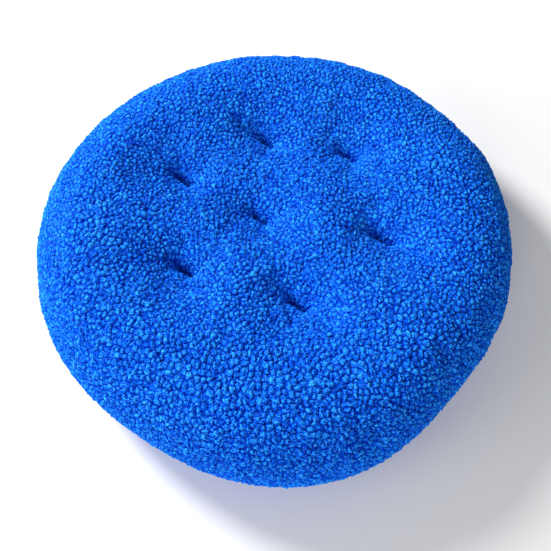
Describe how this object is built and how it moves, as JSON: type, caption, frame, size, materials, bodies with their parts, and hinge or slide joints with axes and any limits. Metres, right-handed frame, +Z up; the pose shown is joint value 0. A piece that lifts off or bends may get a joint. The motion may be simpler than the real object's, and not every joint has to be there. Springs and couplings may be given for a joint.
{
  "type": "seat cushion",
  "caption": "Round tufted seat cushion of deep-pile fleece with a full rounded rim and thread-tied dimples on both faces.",
  "frame": {"origin": "on the resting plane, under the middle of the round cushion", "axes": "+Z up, out of the side that is sat on; -Y towards the front edge; +X to the right"},
  "size_m": [0.4, 0.4, 0.082],
  "materials": {
    "fleece": "deep curly pile, matt",
    "fibre": "loose polyester fibre",
    "seam_thread": "twisted sewing thread",
    "tuft_thread": "twisted thread bundle"
  },
  "bodies": {
    "root": {"top_cover": "fleece", "bottom_cover": "fleece", "fibre_fill": "fibre", "seam_needle_thread": "seam_thread", "seam_bobbin_thread": "seam_thread", "closing_thread": "seam_thread", "tuft_thread_centre": "tuft_thread", "tuft_thread_right_back": "tuft_thread", "tuft_thread_back": "tuft_thread", "tuft_thread_left_back": "tuft_thread", "tuft_thread_left_front": "tuft_thread", "tuft_thread_front": "tuft_thread", "tuft_thread_right_front": "tuft_thread"}
  },
  "joints": []
}
